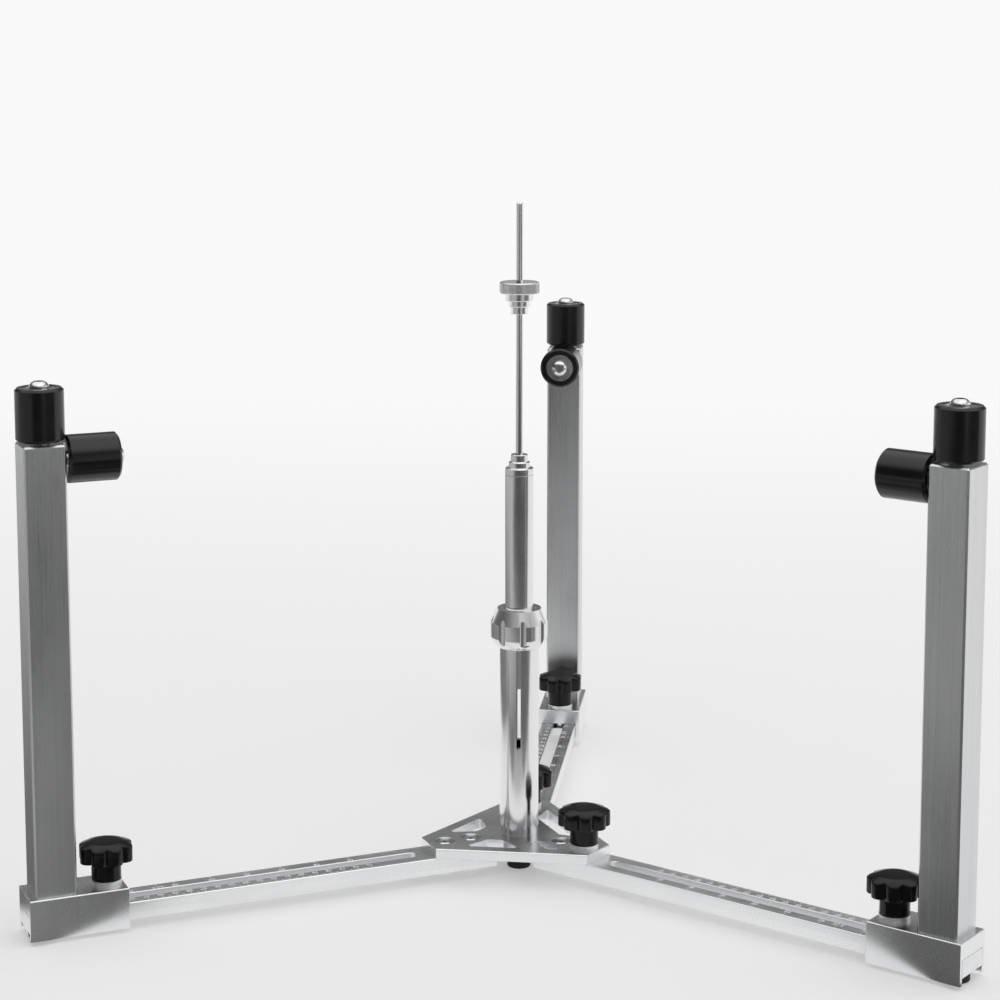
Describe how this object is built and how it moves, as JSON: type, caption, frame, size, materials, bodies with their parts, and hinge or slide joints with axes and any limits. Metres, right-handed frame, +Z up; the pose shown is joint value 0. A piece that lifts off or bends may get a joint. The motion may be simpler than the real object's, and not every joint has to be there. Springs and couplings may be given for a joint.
{
  "type": "bicycle wheel building stand",
  "caption": "Folding bench table for building and truing a bicycle wheel laid flat, with roller posts that slide on slotted arms round a telescopic hub column.",
  "frame": {"origin": "on the floor under the column's axis, at the middle of the centre foot's lower face", "axes": "+Z up along the column, +Y along the rear arm, +X to the right seen from the front"},
  "size_m": [0.6382, 0.5526, 0.4805],
  "materials": {
    "satin_aluminium": "satin machined",
    "brushed_aluminium": "brushed along its length",
    "polished_aluminium": "polished",
    "bright_steel": "bright zinc plated",
    "bearing_steel": "ground and polished",
    "black_plastic": "satin black acetal",
    "black_bakelite": "glossy moulded black",
    "black_rubber": "matt"
  },
  "bodies": {
    "base": {"hub_plate": "satin_aluminium", "column_tube": "polished_aluminium", "column_screw": "bright_steel", "centre_foot": "black_rubber", "left_arm": "satin_aluminium", "left_foot": "black_rubber", "arm_screws": "bright_steel", "arm_nuts": "bright_steel", "lock_washers": "bright_steel"},
    "collet_nut": {"collet_nut": "polished_aluminium"},
    "inner_rod": {"inner_rod": "polished_aluminium", "spindle": "bright_steel", "lower_cone": "polished_aluminium"},
    "upper_cone": {"upper_cone": "polished_aluminium"},
    "thumb_nut": {"thumb_nut": "polished_aluminium"},
    "left_slider": {"left_slider": "satin_aluminium", "left_post": "brushed_aluminium", "left_post_screws": "bright_steel", "left_bearings": "bearing_steel", "left_roller_spacers": "bright_steel", "left_roller_bolts": "bright_steel", "left_tee_nut": "bright_steel", "left_clamp_washer": "bright_steel"},
    "left_clamp_knob": {"left_clamp_knob": "black_bakelite", "left_clamp_stud": "bright_steel"},
    "left_top_roller": {"left_top_roller": "black_plastic"},
    "left_side_roller": {"left_side_roller": "black_plastic"},
    "right_arm": {"right_arm": "satin_aluminium", "right_foot": "black_rubber"},
    "right_lock_knob": {"right_lock_knob": "black_bakelite", "right_lock_stud": "bright_steel"},
    "right_slider": {"right_slider": "satin_aluminium", "right_post": "brushed_aluminium", "right_post_screws": "bright_steel", "right_bearings": "bearing_steel", "right_roller_spacers": "bright_steel", "right_roller_bolts": "bright_steel", "right_tee_nut": "bright_steel", "right_clamp_washer": "bright_steel"},
    "right_clamp_knob": {"right_clamp_knob": "black_bakelite", "right_clamp_stud": "bright_steel"},
    "right_top_roller": {"right_top_roller": "black_plastic"},
    "right_side_roller": {"right_side_roller": "black_plastic"},
    "rear_arm": {"rear_arm": "satin_aluminium", "rear_foot": "black_rubber"},
    "rear_lock_knob": {"rear_lock_knob": "black_bakelite", "rear_lock_stud": "bright_steel"},
    "rear_slider": {"rear_slider": "satin_aluminium", "rear_post": "brushed_aluminium", "rear_post_screws": "bright_steel", "rear_bearings": "bearing_steel", "rear_roller_spacers": "bright_steel", "rear_roller_bolts": "bright_steel", "rear_tee_nut": "bright_steel", "rear_clamp_washer": "bright_steel"},
    "rear_clamp_knob": {"rear_clamp_knob": "black_bakelite", "rear_clamp_stud": "bright_steel"},
    "rear_top_roller": {"rear_top_roller": "black_plastic"},
    "rear_side_roller": {"rear_side_roller": "black_plastic"}
  },
  "joints": [
    {"name": "collet_turn", "type": "hinge", "parent": "base", "child": "collet_nut", "pos_m": [0, 0, 0.175], "axis": [0, 0, 1], "range_deg": [0, 720]},
    {"name": "column_height", "type": "slide", "parent": "base", "child": "inner_rod", "axis": [0, 0, 1], "range_m": [-0.08, 0.03]},
    {"name": "cone_travel", "type": "slide", "parent": "inner_rod", "child": "upper_cone", "axis": [0, 0, 1], "range_m": [-0.09, 0.05]},
    {"name": "thumb_turn", "type": "hinge", "parent": "upper_cone", "child": "thumb_nut", "pos_m": [0, 0, 0.421], "axis": [0, 0, 1], "range_deg": [0, 720]},
    {"name": "left_slide", "type": "slide", "parent": "base", "child": "left_slider", "axis": [-0.866, -0.5, 0], "range_m": [-0.195, 0]},
    {"name": "left_clamp_turn", "type": "hinge", "parent": "left_slider", "child": "left_clamp_knob", "pos_m": [-0.26241, -0.1515, 0.04], "axis": [0, 0, 1], "range_deg": [0, 720]},
    {"name": "left_top_spin", "type": "hinge", "parent": "left_slider", "child": "left_top_roller", "pos_m": [-0.29445, -0.17, 0.352], "axis": [0, 0, 1], "continuous": true},
    {"name": "left_side_spin", "type": "hinge", "parent": "left_slider", "child": "left_side_roller", "pos_m": [-0.2657, -0.1534, 0.3223], "axis": [0.866, 0.5, 0], "continuous": true},
    {"name": "right_fold", "type": "hinge", "parent": "base", "child": "right_arm", "pos_m": [0.03248, -0.01875, 0.0135], "axis": [0, 0, -1], "range_deg": [0, 115]},
    {"name": "right_lock_turn", "type": "hinge", "parent": "base", "child": "right_lock_knob", "pos_m": [0.0498, -0.02875, 0.04], "axis": [0, 0, 1], "range_deg": [0, 720]},
    {"name": "right_slide", "type": "slide", "parent": "right_arm", "child": "right_slider", "axis": [0.866, -0.5, 0], "range_m": [-0.195, 0]},
    {"name": "right_clamp_turn", "type": "hinge", "parent": "right_slider", "child": "right_clamp_knob", "pos_m": [0.26241, -0.1515, 0.04], "axis": [0, 0, 1], "range_deg": [0, 720]},
    {"name": "right_top_spin", "type": "hinge", "parent": "right_slider", "child": "right_top_roller", "pos_m": [0.29445, -0.17, 0.352], "axis": [0, 0, 1], "continuous": true},
    {"name": "right_side_spin", "type": "hinge", "parent": "right_slider", "child": "right_side_roller", "pos_m": [0.2657, -0.1534, 0.3223], "axis": [-0.866, 0.5, 0], "continuous": true},
    {"name": "rear_fold", "type": "hinge", "parent": "base", "child": "rear_arm", "pos_m": [0, 0.0375, 0.0135], "axis": [0, 0, 1], "range_deg": [0, 115]},
    {"name": "rear_lock_turn", "type": "hinge", "parent": "base", "child": "rear_lock_knob", "pos_m": [0, 0.0575, 0.04], "axis": [0, 0, 1], "range_deg": [0, 720]},
    {"name": "rear_slide", "type": "slide", "parent": "rear_arm", "child": "rear_slider", "axis": [0, 1, 0], "range_m": [-0.195, 0]},
    {"name": "rear_clamp_turn", "type": "hinge", "parent": "rear_slider", "child": "rear_clamp_knob", "pos_m": [0, 0.303, 0.04], "axis": [0, 0, 1], "range_deg": [0, 720]},
    {"name": "rear_top_spin", "type": "hinge", "parent": "rear_slider", "child": "rear_top_roller", "pos_m": [0, 0.34, 0.352], "axis": [0, 0, 1], "continuous": true},
    {"name": "rear_side_spin", "type": "hinge", "parent": "rear_slider", "child": "rear_side_roller", "pos_m": [0, 0.3068, 0.3223], "axis": [0, -1, 0], "continuous": true}
  ]
}
